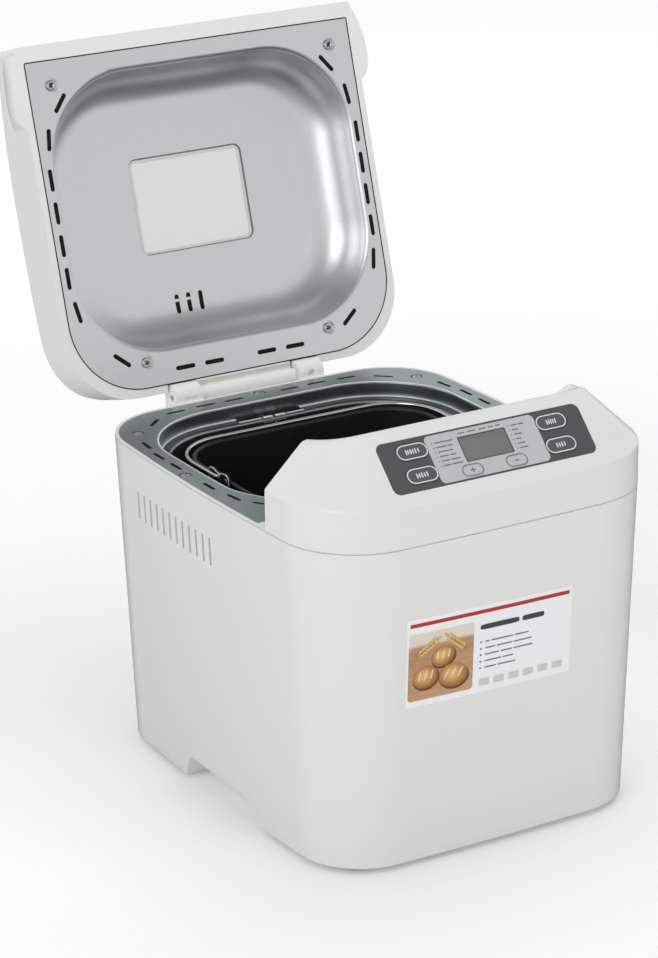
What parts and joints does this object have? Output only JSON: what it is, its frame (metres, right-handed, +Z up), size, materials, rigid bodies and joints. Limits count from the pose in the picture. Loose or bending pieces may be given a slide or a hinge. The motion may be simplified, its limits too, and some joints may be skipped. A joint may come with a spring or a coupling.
{
  "type": "bread machine",
  "caption": "Countertop bread machine with a hinged windowed lid, sloping control hood, lift-out bread pan with bail and kneading paddle, and belt drive below a heated chamber",
  "frame": {"origin": "on the floor under the middle of the object with its lid open", "axes": "+Z up, -Y towards the control hood at the front, +Y towards the lid hinge, +X to the right seen from the front"},
  "size_m": [0.2864, 0.4593, 0.4781],
  "materials": {
    "shell_white": "smooth gloss moulding",
    "hinge_white": "smooth off-white moulding",
    "base_grey": "fine grained moulding",
    "foot_rubber": "matte rubber",
    "deck_steel": "satin coated steel",
    "chamber_steel": "satin steel",
    "liner_steel": "fine satin steel",
    "zinc_steel": "bright zinc plate",
    "bright_wire": "polished wire",
    "shaft_steel": "ground steel",
    "nonstick": "satin non-stick coating",
    "cast_alloy": "cast aluminium",
    "heater_sheath": "oxidised sheath",
    "ceramic": "glazed ceramic",
    "overlay_film": "textured film",
    "key_grey": "satin key",
    "display_clear": "clear window",
    "display_unit": "display unit",
    "board_green": "solder mask",
    "window_clear": "clear glass",
    "gasket_silicone": "silicone",
    "pulley_black": "moulded nylon",
    "belt_rubber": "belt",
    "motor_metal": "painted can",
    "capacitor_white": "moulded case"
  },
  "bodies": {
    "housing": {"body_shell": "shell_white", "hood_cover": "shell_white", "hinge_knuckles": "hinge_white", "base_plate": "base_grey", "cord_gland": "base_grey", "foot_front_left": "foot_rubber", "foot_front_right": "foot_rubber", "foot_rear_left": "foot_rubber", "foot_rear_right": "foot_rubber", "deck": "deck_steel", "chamber": "chamber_steel", "heater_clips": "chamber_steel", "pan_seat": "chamber_steel", "deck_screws": "zinc_steel", "base_screws": "zinc_steel", "frame_screws": "zinc_steel", "drive_frame": "zinc_steel", "bearing_housing": "cast_alloy", "heater": "heater_sheath", "temperature_sensor": "heater_sheath", "heater_bushings": "ceramic", "control_overlay": "overlay_film", "display_window": "display_clear", "display_module": "display_unit", "control_board": "board_green", "power_board": "board_green", "belt": "belt_rubber", "motor": "motor_metal", "motor_capacitor": "capacitor_white"},
    "lid": {"lid_shell": "shell_white", "lid_liner": "liner_steel", "outer_lens": "window_clear", "inner_pane": "window_clear", "window_gasket": "gasket_silicone", "lid_screws": "zinc_steel", "hinge_arm": "hinge_white", "hinge_pins": "zinc_steel"},
    "pan": {"pan": "nonstick", "pan_base_ring": "cast_alloy", "pan_bush": "cast_alloy", "handle_ears": "nonstick"},
    "bail": {"bail_handle": "bright_wire"},
    "paddle": {"pan_shaft": "shaft_steel", "pan_coupling": "cast_alloy", "paddle": "nonstick"},
    "drive": {"drive_shaft": "shaft_steel", "drive_coupling": "cast_alloy", "drive_pulley": "pulley_black"},
    "rotor": {"motor_shaft": "shaft_steel", "motor_pulley": "pulley_black"},
    "key_upper_left_body": {"key_upper_left": "key_grey"},
    "key_lower_left_body": {"key_lower_left": "key_grey"},
    "key_upper_right_body": {"key_upper_right": "key_grey"},
    "key_lower_right_body": {"key_lower_right": "key_grey"},
    "key_plus_body": {"key_plus": "key_grey"},
    "key_minus_body": {"key_minus": "key_grey"}
  },
  "joints": [
    {"name": "lid_hinge", "type": "hinge", "parent": "housing", "child": "lid", "pos_m": [0, 0.10755, 0.2302], "axis": [-1, 0, 0], "range_deg": [-106.5, 0]},
    {"name": "pan_lift", "type": "slide", "parent": "housing", "child": "pan", "axis": [0, 0, 1], "range_m": [0, 0.2]},
    {"name": "bail_swing", "type": "hinge", "parent": "pan", "child": "bail", "pos_m": [0, -0.02669, 0.2201], "axis": [1, 0, 0], "range_deg": [0, 165]},
    {"name": "paddle_spin", "type": "hinge", "parent": "pan", "child": "paddle", "pos_m": [0, -0.02669, 0.078], "axis": [0, 0, 1], "continuous": true},
    {"name": "drive_spin", "type": "hinge", "parent": "housing", "child": "drive", "pos_m": [0, -0.02669, 0.048], "axis": [0, 0, 1], "continuous": true},
    {"name": "motor_spin", "type": "hinge", "parent": "housing", "child": "rotor", "pos_m": [-0.045, -0.17144, 0.048], "axis": [0, 0, 1], "continuous": true},
    {"name": "key_upper_left_press", "type": "slide", "parent": "housing", "child": "key_upper_left_body", "axis": [0, 0.7022, -0.712], "range_m": [0, 0.0008], "stiffness_N_per_m": 800},
    {"name": "key_lower_left_press", "type": "slide", "parent": "housing", "child": "key_lower_left_body", "axis": [0, 0.7022, -0.712], "range_m": [0, 0.0008], "stiffness_N_per_m": 800},
    {"name": "key_upper_right_press", "type": "slide", "parent": "housing", "child": "key_upper_right_body", "axis": [0, 0.7022, -0.712], "range_m": [0, 0.0008], "stiffness_N_per_m": 800},
    {"name": "key_lower_right_press", "type": "slide", "parent": "housing", "child": "key_lower_right_body", "axis": [0, 0.7022, -0.712], "range_m": [0, 0.0008], "stiffness_N_per_m": 800},
    {"name": "key_plus_press", "type": "slide", "parent": "housing", "child": "key_plus_body", "axis": [0, 0.7022, -0.712], "range_m": [0, 0.0008], "stiffness_N_per_m": 800},
    {"name": "key_minus_press", "type": "slide", "parent": "housing", "child": "key_minus_body", "axis": [0, 0.7022, -0.712], "range_m": [0, 0.0008], "stiffness_N_per_m": 800}
  ],
  "couplings": [
    {"joint": "paddle_spin", "follows": "drive_spin", "ratio": 1},
    {"joint": "motor_spin", "follows": "drive_spin", "ratio": 5}
  ]
}
